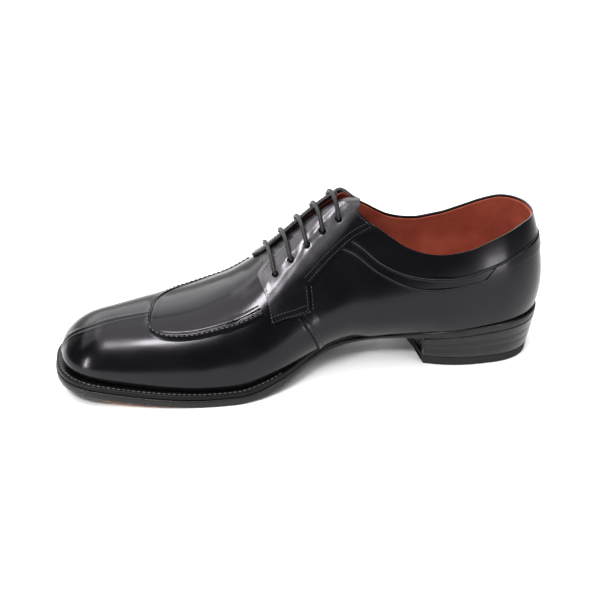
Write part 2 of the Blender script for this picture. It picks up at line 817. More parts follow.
def seam_strip(path: Path, profile: Knots, fade: Array | None = None) -> Surface:
    """A relief carried along a line: each sample has the profile's sideways distances on the
    surface and its heights along the normal.

    Args:
        path: the line.
        profile: (sideways, height) in millimetres, from right to left of the line.
        fade: share of the height for each sample.

    Returns:
        Points and quads, with a floor under the profile so that the strip is closed.
    """
    aside, height = np.array(profile, float).T
    walk, across = path.shifted(aside)
    share = np.ones(len(path.walk)) if fade is None else fade
    top = path.last.over(walk, across, height * share[:, None])
    low = path.last.over(walk, across, np.full(walk.shape, SEAM_FLOOR))
    ring = np.concatenate([top, low[:, ::-1]], axis=1)
    ring = np.concatenate([ring, ring[:, :1]], axis=1)
    rows, columns = ring.shape[:2]
    size = len(profile)
    k = np.arange(size - 1)
    cap = np.stack([k, k + 1, 2 * size - 2 - k, 2 * size - 1 - k], -1)
    quads = np.concatenate([grid_faces(rows, columns), cap, cap[:, ::-1] + (rows - 1) * columns])
    return ring.reshape(-1, 3), quads


def beads(centre: Array, axes: tuple[Array, Array, Array], length: float, width: float,
          lift: float = 0.0, bow: float = 0.0) -> Surface:
    """Six-sided beads that swell in the middle and bow down at both ends: the height falls
    with the square of the place along the bead.

    Args:
        centre: middle of each bead.
        axes: directions along, aside of and up from each bead.
        length: of one bead.
        width: of its middle.
        lift: height of the middle.
        bow: how steeply the ends fall.

    Returns:
        Points and quads.
    """
    t = np.array([-0.5, -0.34, 0.0, 0.34, 0.5])
    radius = np.array([0.3, 0.85, 1.0, 0.85, 0.3])[:, None] * width / 2
    turn = np.arange(6) * np.pi / 3
    x = (t * length)[:, None] + 0 * turn
    y, z = radius * np.cos(turn), radius * np.sin(turn) * 0.8 + lift - bow * (t**2)[:, None]
    shape = centre[:, None, None] + sum(
        axis[:, None, None] * size[..., None] for axis, size in zip(axes, (x, y, z)))
    i, j = np.meshgrid(np.arange(len(t) - 1), np.arange(len(turn)), indexing="ij")
    a, b = i * 6 + j, i * 6 + (j + 1) % 6
    one = np.stack([b, b + 6, a + 6, a], -1).reshape(-1, 4)
    ends = np.array([[3, 2, 1, 0], [5, 4, 3, 0], [24, 25, 26, 27], [24, 27, 28, 29]])
    one = np.concatenate([one, ends])
    starts = np.arange(len(centre)) * len(t) * len(turn)
    return shape.reshape(-1, 3), (one[None] + starts[:, None, None]).reshape(-1, 4)


def stitches(path: Path, lift: float, pitch: float = 2.0, length: float = 1.45,
             width: float = 0.42) -> Surface:
    """A row of stitches, bowed so that both ends dive into the leather.

    Args:
        path: the line they follow.
        lift: offset of the leather's face.
        pitch: from stitch to stitch.
        length: of one stitch.
        width: of the thread.

    Returns:
        Points and quads.
    """
    run = path.run()
    count = max(int(run[-1] / pitch), 2)
    here = (np.arange(count) + 0.5) * run[-1] / count
    spots = Path(path.last, np.interp(here, run, path.walk), np.interp(here, run, path.across))
    axes = (unit(np.stack([np.interp(here, run, axis[:, k]) for k in range(3)], -1))
            for axis in path.frames())
    centre = path.last.over(spots.walk, spots.across, lift)
    along, up, aside = axes
    return beads(centre, (along, aside, up), length, width, STITCH_LIFT, STITCH_BOW)


def flipped(profile: Knots) -> Knots:
    """A profile seen from the other side of the line."""
    return tuple((-x, z) for x, z in profile)[::-1]


def furrow(width: float, height: float) -> Knots:
    """Profile of a stitched line: two low lips with the thread's valley between them.

    Args:
        width: its scale sideways.
        height: of the lips.

    Returns:
        (sideways, height) in millimetres.
    """
    lip = ((0.3 * width, height * 0.6), (0.7 * width, height), (1.3 * width, 0.02),
           (1.9 * width, -0.05))
    return flipped(lip) + ((0.0, -0.02),) + lip


@dataclass
class Upper:
    """Vamp, quarters and their lining, with the soft hollows pressed in by hand."""

    last: Last
    wall: float = 1.2
    lining: float = 0.8
    lining_drop: float = 0.9
    throat: float = 0.59
    rows: int = 46
    row_power: float = 1.15
    crown_rows: int = 20
    throat_drop: float = 4.0
    throat_drop_at: tuple[float, float] = (0.42, 0.45)
    # share of the length, across, half length, half width, depth, turn in degrees
    hollows: tuple[tuple[float, ...], ...] = (
        (0.625, 0.0, 26.0, 3.6, 0.28, 90), (0.65, 0.35, 15.0, 3.0, 0.18, 70),
        (0.665, -0.4, 16.0, 3.2, 0.18, -70), (0.49, 0.72, 16.0, 5.0, 0.12, 60),
        (0.43, 0.66, 20.0, 6.0, 0.18, 35), (0.24, 0.85, 5.0, 22.0, 0.35, 0),
        (0.24, -0.85, 5.0, 22.0, 0.35, 0), (0.55, 0.86, 9.0, 5.0, 0.08, 0),
        (0.47, -0.7, 18.0, 5.0, 0.25, -50), (0.71, 0.82, 14.0, 4.0, -0.16, 20),
        (0.71, -0.82, 14.0, 4.0, -0.16, -20),
    )

    def stations(self) -> Array:
        """Walks from the back to the tip, with the throat's end as one of them.

        Returns:
            Rising walks from 0 to 1.
        """
        end = float(self.last.walk(np.array(self.throat)))
        return spread((0, 0.1, 26), (0.1, 0.3, 40), (0.3, 0.46, 56), (0.46, end, 28),
                      (end, 0.88, 66), (0.88, 1, 60))

    def sunk(self, walk: Array, across: Array) -> Array:
        """Relief of the leather: minus the sum of turned Gaussian hollows.

        Args:
            walk: walks.
            across: acrosses.

        Returns:
            Offsets in millimetres.
        """
        past = (walk < 0) | (walk > 1)
        across = np.where(past, -across, across)
        x = self.last.share(walk) * self.last.length
        total = np.zeros(np.broadcast(walk, across).shape)
        for at, middle, half_length, half_width, depth, turn in self.hollows:
            dx, dy = x - at * self.last.length, (across - middle) * self.last.ball_width
            c, s = np.cos(np.radians(turn)), np.sin(np.radians(turn))
            u, v = (dx * c + dy * s) / half_length, (-dx * s + dy * c) / half_width
            total -= depth * np.exp(-u * u - v * v)
        return total

    def shell(self, offset: float, drop: float) -> Surface:
        """A skin of the upper: both walls up to the top edge, and the crown over the vamp.

        Args:
            offset: distance out of the last's surface.
            drop: how far it ends below the top edge, in millimetres.

        Returns:
            Points and quads.
        """
        half = self.stations()
        walks = np.concatenate([-half[::-1], half[1:]])
        at = self.last.share(walks)
        low = drop * (1 + (self.throat_drop - 1) * ramp(at, *self.throat_drop_at))
        top = self.last.top_edge(at) - low / self.last.ball_width
        share = 1 - np.linspace(0, 1, self.rows) ** self.row_power
        across = 1 - top[:, None] * share[None]
        walk = np.broadcast_to(walks[:, None], across.shape)
        sides = self.last.over(walk, across, offset + self.sunk(walk, across))
        ahead = half[half >= float(self.last.walk(np.array(self.throat))) - TINY]
        edge = 1 - (self.last.top_edge(self.last.share(ahead))
                    - self.throat_drop * drop / self.last.ball_width)
        over = np.linspace(-1, 1, self.crown_rows)[None] * edge[:, None]
        wide = np.broadcast_to(ahead[:, None], over.shape)
        crown = self.last.over(wide, over, offset + self.sunk(wide, over))
        return joined([(sides.reshape(-1, 3), grid_faces(*sides.shape[:2])),
                       (crown.reshape(-1, 3), grid_faces(*crown.shape[:2]))])

    def build(self) -> None:
        """Makes the leather shell and the lining inside it."""
        piece("upper_leather", *self.shell(0.0, 0.0), CALF, ("upper",), thick=self.wall,
              edge=0.45)
        piece("upper_lining", *self.shell(-self.wall - 0.05, self.lining_drop), LINING,
              thick=self.lining, edge=0.3)


@dataclass
class Facing:
    """One lace facing: a long band with a square tab at its front and five punched holes."""

    last: Last
    side: float
    back: float = 0.366
    front: float = 0.597
    tab: float = 0.508
    top: float = 1.9
    thick: float = 1.5
    hole: float = 2.1
    first: float = 0.438
    pitch: float = 9.75
    eyelet: float = 0.69
    arc: float = 100.0
    block: float = 2.9
    block_height: float = 0.048
    block_cells: int = 6
    tab_rows: int = 10
    band_rows: int = 18
    crest_rows: int = 12
    rear_drop: float = 0.14
    rear_span: tuple[float, float] = (0.38, 0.46)
    corner: float = 0.032
    corner_drop: float = 0.085
    slant: float = 0.04
    dimple: tuple[float, float] = (0.5, 3.2)
    swell: float = 0.3
    wave: float = 0.15
    # lower edges of the band and of the tab: share of the length, height
    band: Knots = (
        (0.366, 0.527), (0.393, 0.5), (0.431, 0.475), (0.46, 0.454), (0.489, 0.433),
        (0.508, 0.417), (0.54, 0.412), (0.6, 0.42))
    tab_edge: Knots = (
        (0.508, 0.271), (0.537, 0.3), (0.564, 0.335), (0.6, 0.375))
    # behind the tab, along its lower edge, up the front, and back along the throat
    thread_lines: tuple[Knots, ...] = (
        ((0.5125, 0.29), (0.5125, 0.35), (0.513, 0.43)),
        ((0.513, 0.292), (0.537, 0.316), (0.564, 0.351), (0.586, 0.37)),
        ((0.586, 0.372), (0.5875, 0.5), (0.5915, 0.66), (0.593, 0.75), (0.585, 0.815),
         (0.57, 0.842)),
        ((0.57, 0.843), (0.52, 0.853), (0.46, 0.848), (0.436, 0.836), (0.424, 0.79),
         (0.413, 0.71), (0.39, 0.6), (0.376, 0.55)))

    def eyelets(self) -> Array:
        """Shares of the length of the five holes."""
        return self.first + np.arange(PAIRS) * self.pitch / self.last.length

    def lean(self, at: Array, height: Array) -> Array:
        """The front edge leans forward with height."""
        return at + self.slant * (height - self.eyelet) * ramp(at, self.tab, self.front)

    def crest(self, at: Array) -> Array:
        """Top edge, with the front corner rounded by a quarter ellipse."""
        turn = np.clip((at - self.front + self.corner) / self.corner, 0, 1)
        return self.last.top_edge(at) - self.corner_drop * (1 - np.sqrt(1 - turn * turn))

    def height_of(self, walk: Array, across: Array) -> Array:
        """Offset of the face: its level, less a Gaussian dimple round each hole, plus a low
        Gaussian swell between the holes and a faint product of two sines.

        Args:
            walk: walks.
            across: acrosses.

        Returns:
            Offsets in millimetres.
        """
        x = self.last.share(walk) * self.last.length
        y = (1 - np.abs(across) - self.eyelet) * self.arc
        sunk = np.zeros(x.shape)
        for i, spot in enumerate(self.eyelets() * self.last.length):
            near = np.hypot(x - spot, y) / self.dimple[1]
            sunk += self.dimple[0] * np.exp(-(near**2))
            sunk -= self.swell * np.exp(-(((x - spot - 4.4) / 2.4) ** 2) - ((y - 3 + i) / 6) ** 2)
        wave = self.wave * np.sin(x * 0.55 + y * 0.31) * np.sin(y * 0.42 - x * 0.2)
        return self.top - sunk + wave * np.exp(-((y / 14) ** 2))

    def sheet(self) -> tuple[Array, Array, Array]:
        """The band's face: a grid over (at, height), with a ring of cells round each hole.

        Returns:
            Points, quads, and UV (walk, and height less a drop at the rear) for each corner.
        """
        half, cells = self.block / self.last.length, self.block_cells
        spots = self.eyelets()
        spans = [(self.back, spots[0] - half, 20), (spots[0] - half, spots[0] + half, cells)]
        for before, spot in zip(spots, spots[1:]):
            spans += [(before + half, spot - half, 3), (spot - half, spot + half, cells)]
        at = spread(*spans, (spots[-1] + half, self.front, 12))
        at[np.abs(at - self.tab).argmin()] = self.tab
        band = steady_cubic(*np.array(self.band).T)(at)
        low = steady_cubic(*np.array(self.tab_edge).T)(np.maximum(at, self.tab))
        block_low, block_high = self.eyelet - self.block_height, self.eyelet + self.block_height
        crest = np.maximum(self.crest(at), band)
        first = int(np.abs(at - (spots[0] - half)).argmin())
        span = crest[first] - band[first]
        under, over = ((h - band[first]) / span for h in (block_low, block_high))
        behind = at < at[first]
        base = np.where(behind, band + (crest - band) * under, block_low)
        head = np.where(behind, band + (crest - band) * over, block_high)
        levels = ((low, band, self.tab_rows), (band, base, self.band_rows), (base, head, cells),
                  (head, crest, self.crest_rows))
        rows = [a + (b - a) * t for a, b, n in levels for t in np.linspace(0, 1, n + 1)[:-1]]
        height = np.stack(rows + [crest], 1)
        walk = self.last.walk(self.lean(at[:, None], height))
        across = self.side * (1 - height)
        keep = np.ones((len(at) - 1, height.shape[1] - 1), bool)
        keep[at[:-1] < self.tab - TINY, :self.tab_rows] = False
        rings = []
        bottom = self.tab_rows + self.band_rows
        top, steps = bottom + cells, np.arange(cells)
        for spot in spots:
            i = int(np.abs(at - (spot - half)).argmin())
            keep[i:i + cells, bottom:top] = False
            a = np.concatenate([i + steps, i + cells + 0 * steps, i + cells - steps, i + 0 * steps,
                                [i]])
            b = np.concatenate([bottom + 0 * steps, bottom + steps, top + 0 * steps, top - steps,
                                [bottom]])
            rings.append(self.ring(spot, walk[a, b], across[a, b]))
        flat = np.stack([walk, across], -1).reshape(-1, 2)
        spots, quads = joined([(flat, grid_faces(*height.shape, keep))] + rings)
        quads = quads if self.side < 0 else quads[:, ::-1]
        points = self.last.over(*spots.T, self.height_of(*spots.T))
        rear = self.rear_drop * (1 - ramp(self.last.share(spots[:, 0]), *self.rear_span))
        return points, quads, np.stack([spots[:, 0], 1 - np.abs(spots[:, 1]) - rear], -1)[quads]

    def hub(self, spot: float) -> tuple[Array, Array, Array, Array]:
        """Middle of a hole.

        Args:
            spot: share of the length of the hole.

        Returns:
            Its walk and across, and the surface's slopes along both.
        """
        walk, across = self.last.walk(np.array([spot])), np.array([self.side * (1 - self.eyelet)])
        along, over = self.last.slopes(walk, across)
        return walk, across, along[0], over[0]

    def ring(self, spot: float, walk: Array, across: Array) -> Surface:
        """Cells from a square loop in to the round hole, by straight steps.

        Args:
            spot: share of the length of the hole.
            walk: walks of the loop, closed.
            across: acrosses of the loop.

        Returns:
            Walks with acrosses, and quads.
        """
        here, height, along, over = self.hub(spot)
        first = unit(along)
        second = unit(over - first * (over @ first))
        u, v = walk - here, across - height
        x, y = u * (along @ first) + v * (over @ first), v * (over @ second)
        turn = np.arctan2(y, x)
        cy = self.hole * np.sin(turn) / (over @ second)
        cx = (self.hole * np.cos(turn) - cy * (over @ first)) / (along @ first)
        t = np.linspace(0, 1, 7)[:, None]
        walks, acrosses = here + u + (cx - u) * t, height + v + (cy - v) * t
        return np.stack([walks, acrosses], -1).reshape(-1, 2), grid_faces(*walks.shape)[:, ::-1]

    def insides(self) -> Surface:
        """Dark discs on the quarter under the holes: rings of growing reach.

        Returns:
            Points and quads.
        """
        turn = np.linspace(0, 2 * np.pi, 25)
        reach = np.linspace(0, self.hole + 0.2, 4)[:, None]
        parts = []
        for spot in self.eyelets():
            here, height, along, over = self.hub(spot)
            walk = here + reach * np.cos(turn) / np.linalg.norm(along)
            across = height + self.side * reach * np.sin(turn) / np.linalg.norm(over)
            points = self.last.over(walk, across, 0.22)
            parts.append((points.reshape(-1, 3), grid_faces(*points.shape[:2])))
        return joined(parts)

    def build(self) -> None:
        """Makes the facing, the dark floors of its holes and its rows of stitches."""
        name = dict(SIDES)[self.side]
        points, quads, uv = self.sheet()
        piece(f"facing_{name}_leather", points, quads, FACING_CALF, (f"facing_{name}",),
              thick=self.thick, edge=0.4, rim=RAW_EDGE, uv=uv)
        piece(f"eyelets_{name}", *self.insides(), HOLE, thick=0.15)
        side, lift = self.side, self.top + 0.02
        band = tuple(knot for knot in self.band if 0.37 < knot[0] < 0.505)
        edge, tab_back, tab_low, front, throat = (line(self.last, knots, side) for knots in (
            ((0.372, 0.527),) + band[1:] + ((0.504, 0.423),), *self.thread_lines))
        rows = [edge.moved(-1.5 * side), edge.moved(-4.6 * side), tab_back,
                tab_back.moved(-3.2 * side), tab_low, tab_low.moved(-3.2 * side), front, throat]
        rows = [stitches(row, lift) for row in rows]
        piece(f"facing_{name}_stitches", *joined(rows), THREAD)


@dataclass
class Laces:
    """Five straight bars of round waxed lace, each from a hole on one facing to the other."""

    last: Last
    facing: Facing
    radius: float = 1.22
    sides: int = 16
    samples: int = 90
    uv_length: float = 10.0
    # distance from the end, and share of the radius there: a rounded tip
    tip: Knots = ((0.0, 0.0), (0.12, 0.6), (0.45, 0.9))

    def bar(self, at: float) -> tuple[Array, Array, Array]:
        """A tube along a spline: up out of the hole, over the facing, across the throat and
        down on the other side.

        Args:
            at: share of the length of the pair of holes.

        Returns:
            Points, quads and UV.
        """
        rest = self.facing.top + self.radius + 0.1
        edge = float(self.last.top_edge(np.array([at]))[0])
        heights = np.array([0.688, 0.69, 0.7, 0.72, 0.76, 0.81, edge - 0.01])
        lifts = np.array([-1.6, 0.2, 2.0, rest - 0.15, rest, rest, rest])
        walk = self.last.walk(np.full(len(heights), at))
        one = self.last.over(walk, 1 - heights, lifts)
        other = self.last.over(walk, heights - 1, lifts)[::-1]
        knots = np.concatenate([one, other])
        run = np.concatenate([[0.0], np.cumsum(np.linalg.norm(np.diff(knots, axis=0), axis=1))])
        tip, share = np.array(self.tip).T
        even = np.linspace(1, run[-1] - 1, self.samples - 2 * len(tip))
        t = np.concatenate([tip, even, run[-1] - tip[::-1]])
        size = np.concatenate([share, np.ones(len(even)), share[::-1]])
        centre = natural_spline(run, knots)(t)
        tangent = unit(np.gradient(centre, axis=0))
        up = unit(np.cross(tangent, np.array([1.0, 0.0, 0.0])))
        across = np.cross(up, tangent)
        turn = np.linspace(0, -2 * np.pi, self.sides + 1)
        ring = (np.cos(turn)[None, :, None] * across[:, None]
                + np.sin(turn)[None, :, None] * up[:, None])
        points = centre[:, None] + ring * self.radius * size[:, None, None]
        uv = np.stack(np.meshgrid(t / self.uv_length, turn / (2 * np.pi), indexing="ij"), -1)
        quads = grid_faces(*points.shape[:2])
        return points.reshape(-1, 3), quads, uv.reshape(-1, 2)[quads]

    def build(self) -> None:
        """Makes the five bars."""
        for i, at in enumerate(self.facing.eyelets()):
            points, quads, uv = self.bar(float(at))
            piece(f"lace_{i + 1}", points, quads, CORD, (f"lace_bar_{i + 1}",), uv=uv)


@dataclass
class Tongue:
    """Tongue: flush with the vamp in front, sinking to its free end, with soft wrinkles."""

    last: Last
    # share of the length, depth below the surface, drop along z, reach down the sides
    course: tuple[tuple[float, ...], ...] = (
        (0.39, 2.4, 6.6, 0.73), (0.41, 2.4, 4.6, 0.69), (0.43, 2.4, 2.7, 0.66),
        (0.47, 2.3, 0.7, 0.65), (0.54, 2.1, 0.1, 0.67), (0.575, 1.2, 0.0, 0.7),
        (0.592, 0.35, 0.0, 0.72), (0.602, 0.3, 0.0, 0.74), (0.615, 1.3, 0.0, 0.76))
    wrinkle: float = 0.28
    wrinkled: tuple[float, float] = (0.545, 0.03)

    def build(self) -> None:
        """Makes the tongue: depth, drop and reach are steady cubics of the station, and the
        wrinkles are short sine ridges across it."""
        knots, *columns = np.array(self.course).T
        at = spread((knots[0], 0.47, 40), (0.47, knots[-1], 70))[:, None]
        depth, drop, reach = (steady_cubic(knots, column)(at) for column in columns)
        step = np.linspace(-1, 1, 61)[None]
        across = (1 - reach) * step
        middle, wide = self.wrinkled
        wrinkle = self.wrinkle * np.sin(at * 290 + 1.3 * np.sin(step * 4)) * np.exp(
            -((at - middle) / wide) ** 2)
        corner = 0.014 * np.abs(step) ** 5 * (1 - ramp(at, knots[0], 0.43))
        points = self.last.over(self.last.walk(at + corner), across, wrinkle - depth)
        points[..., 2] -= drop
        piece("tongue_leather", points, grid_faces(*points.shape[:2]), TONGUE_CALF, ("tongue",),
              thick=1.7, edge=0.5)


@dataclass
class Seams:
    """Raised seams, lapped edges, the strip at the back, and every row of stitches."""

    last: Last
    # share of the length, across
    apron: Knots = (
        (0.604, 0.5), (0.66, 0.478), (0.72, 0.466), (0.765, 0.45), (0.8, 0.41), (0.822, 0.32),
        (0.828, 0.18), (0.82, 0.0), (0.8, -0.16), (0.765, -0.29), (0.72, -0.345),
        (0.66, -0.36), (0.604, -0.355))
    # walk, across
    split: Knots = (
        (0.7935, 0.104), (0.8165, 0.104), (0.8405, 0.12), (0.8725, 0.144), (0.9105, 0.19),
        (0.9385, 0.268), (0.958, 0.376), (0.971, 0.472), (0.9825, 0.574), (0.9895, 0.672),
        (0.993, 0.77), (0.9945, 0.87), (0.9945, 0.965))
    # share of the length, lower and upper height
    strip: tuple[tuple[float, ...], ...] = (
        (0.0, 0.285, 0.338), (0.03, 0.268, 0.32), (0.06, 0.25, 0.298), (0.1, 0.222, 0.262),
        (0.15, 0.19, 0.228))
    # share of the length, height
    collar_high: Knots = (
        (0.022, 0.333), (0.057, 0.303), (0.09, 0.272), (0.119, 0.248), (0.156, 0.228),
        (0.186, 0.217), (0.246, 0.222), (0.304, 0.256), (0.352, 0.325), (0.399, 0.442),
        (0.412, 0.478), (0.424, 0.52))
    collar_low: Knots = (
        (0.15, 0.185), (0.186, 0.178), (0.238, 0.176), (0.302, 0.208), (0.352, 0.279),
        (0.402, 0.388), (0.43, 0.462), (0.444, 0.5))
    side_seam: Knots = ((0.53, 0.285), (0.515, 0.2), (0.498, 0.1), (0.485, 0.012))
    # sideways, height over the leather
    bead: Knots = (
        (-4.6, -0.08), (-3.4, 0.1), (-2.3, 0.22), (-1.5, 0.16), (-1.1, -0.02), (-0.8, -0.05),
        (-0.75, 0.3), (-0.68, 0.75), (-0.45, 1.1), (0.0, 1.25), (0.6, 1.12), (1.3, 0.72),
        (2.2, 0.3), (3.6, 0.06), (5.0, -0.1))
    lips: Knots = (
        (-4.4, -0.06), (-3.2, 0.12), (-2.1, 0.42), (-1.4, 0.5), (-0.8, 0.34), (-0.2, -0.02),
        (0.2, -0.02), (0.7, 0.24), (1.3, 0.36), (2.1, 0.28), (3.2, 0.08), (4.4, -0.06))
    lap: Knots = (
        (-9.0, -0.05), (-6.0, 0.14), (-3.0, 0.5), (-0.9, 0.95), (-0.3, 0.9), (0.0, 0.5),
        (0.05, -0.1), (0.9, -0.12), (1.7, 0.1), (3.2, -0.05))
    # pitch, length and width of the stitches
    apron_stitch: tuple[float, float, float] = (3.0, 2.2, 0.85)
    split_stitch: tuple[float, float, float] = (2.4, 1.7, 0.42)
    lap_gap: Knots = ((-0.2, -0.1), (0.0, 0.1), (0.5, 0.12), (0.95, 0.04), (1.15, -0.1))
    split_gap: Knots = ((-0.4, -0.1), (-0.3, 0.06), (0.3, 0.06), (0.4, -0.1))

    def apron_path(self) -> Path:
        """The apron seam's line.

        Returns:
            Natural splines of station and across over the knots' order.
        """
        knots = np.linspace(0, 1, len(self.apron))
        at, across = natural_spline(knots, np.array(self.apron))(np.linspace(0, 1, 500)).T
        return Path(self.last, self.last.walk(at), across).resampled(420)

    def split_path(self) -> Path:
        """The split seam's line down to the toe.

        Returns:
            Natural splines of walk and across over the knots' order.
        """
        knots = np.linspace(0, 1, len(self.split))
        walk, across = natural_spline(knots, np.array(self.split))(np.linspace(0, 1, 300)).T
        return Path(self.last, walk, across).resampled(140)

    def build(self) -> None:
        """Makes the seams in the order of the shoe, front to back."""
        apron, split = self.apron_path(), self.split_path()
        t = np.linspace(0, 1, len(apron.walk))
        fade = 1 - 0.5 * ramp(t, 0.3, 0.45) + 0.25 * ramp(t, 0.6, 0.75)
        piece("apron_seam_ridge", *seam_strip(apron, self.bead, fade), CALF, ("apron_seam",))
        piece("split_toe_seam", *seam_strip(split, self.lips), CALF)
        rows = [stitches(apron.moved(0.9), 1.0, *self.apron_stitch),
                stitches(split.moved(-3.0), 0.14, *self.split_stitch)]
        gaps = [seam_strip(split, self.split_gap)]
        for side, name in SIDES:
            edge = line(self.last, self.side_seam, side)
            lap, gap = (flipped(shape) if side > 0 else shape for shape in (self.lap, self.lap_gap))
            piece(f"side_seam_{name}", *seam_strip(edge, lap), CALF)
            gaps.append(seam_strip(edge, gap))
            rows += [stitches(edge.moved(side * 1.5), 0.5), stitches(edge.moved(side * 3.6), 0.36)]
        outer_half = tuple((-at, height) for at, height in self.collar_high)[::-1]
        high = line(self.last, outer_half + ((0.0, 0.343),) + self.collar_high, 1.0, 700)
        piece("collar_seam", *seam_strip(high, furrow(0.85, 0.16)), CALF)
        rows.append(stitches(high, 0.0, width=0.42))
        for side, name in SIDES:
            low = line(self.last, self.collar_low, side, 300)
            piece(f"quarter_seam_{name}", *seam_strip(low, furrow(0.7, 0.12)), CALF)
            rows.append(stitches(low, 0.0, width=0.38))
        piece("seam_stitches", *joined(rows), THREAD)
        piece("seam_gaps", *joined(gaps), HOLE)
        self.heel_strip()

    def heel_strip(self) -> None:
        """The strip at the back: a grid from its slanted inner end round to the outer one."""
        knots, *columns = np.array(self.strip).T
        low, high = (steady_cubic(knots, column) for column in columns)
        row = np.linspace(0, 1, 12)[None]
        step = np.linspace(-1, 1, 161)[:, None]
        reach = (knots[-1] - 0.025 * row) * np.abs(step) ** 1.4
        height = low(reach) + (high(reach) - low(reach)) * row
        walk = np.sign(step) * self.last.walk(reach)
        points = self.last.over(walk, 1 - height, 0.85)
        piece("heel_strip_leather", points, grid_faces(*points.shape[:2])[:, ::-1], CALF,
              ("heel_strip",), thick=1.0, edge=0.35)


@dataclass
class Outline:
    """Lines round the sole: signed walks from the tip over the back to the tip again."""

    last: Last

    def walks(self) -> Array:
        """Signed walks, closer together round the heel and the toe.

        Returns:
            Rising walks from -1 to 1.
        """
        half = spread((0, 0.12, 34), (0.12, 0.86, 110), (0.86, 1, 60))
        return np.concatenate([-half[::-1], half[1:]])

    def at(self, walk: Array, out: Array) -> Array:
        """Plan points out from the feather line: the line's own left-hand normal times out.

        Args:
            walk: signed walks, shape (n,).
            out: distances in millimetres, shape (n, m).

        Returns:
            Plan points, shape (n, m, 2).
        """
        s = self.last.step
        here = self.last.skin(walk, 1.0)[:, :2]
        along = self.last.skin(walk + s, 1.0) - self.last.skin(walk - s, 1.0)
        left = unit(np.stack([-along[:, 1], along[:, 0]], -1))
        return here[:, None] + left[:, None] * out[..., None]

    def sole(self, walk: Array) -> Array:
        """How far the sole's edge stands out of the feather line.

        Args:
            walk: signed walks.

        Returns:
            Distances in millimetres.
        """
        at, section = self.last.share(walk), self.last.section
        inner, outer = section["welt_in"](at), section["welt_out"](at)
        return np.where(walk >= 0, inner, outer) * self.last.welt_width

    def layer(self, walk: Array, out: Array, z: Array, fill: int = 14) -> Surface:
        """A flat layer: its edge profile carried round, and its top and bottom filled by
        straight rows from the outer side to the inner side.

        Args:
            walk: signed walks, symmetrical round 0.
            out: profile distances out of the feather line from top to bottom, shape (n, m).
            z: profile heights, shape (n, m).
            fill: steps across.

        Returns:
            Points and quads.
        """
        plan = self.at(walk, out)
        points = np.concatenate([plan, z[..., None]], -1)
        if walk[-1] > 1 - TINY:
            points[-1] = points[0]
        parts = [(points.reshape(-1, 3), grid_faces(*z.shape))]
        middle = len(walk) // 2
        t = np.linspace(0, 1, fill)[None, :, None]
        for column, turned in ((0, False), (-1, True)):
            one, other = points[middle:, column], points[middle::-1, column]
            face = one[:, None] + (other - one)[:, None] * t
            quads = grid_faces(*face.shape[:2])
            parts.append((face.reshape(-1, 3), quads if turned else quads[:, ::-1]))
        if walk[-1] < 1 - TINY:
            front = points[-1][:, None] + (points[0] - points[-1])[:, None] * t[0][None]
            parts.append((front.reshape(-1, 3), grid_faces(*front.shape[:2])[:, ::-1]))
        return joined(parts)


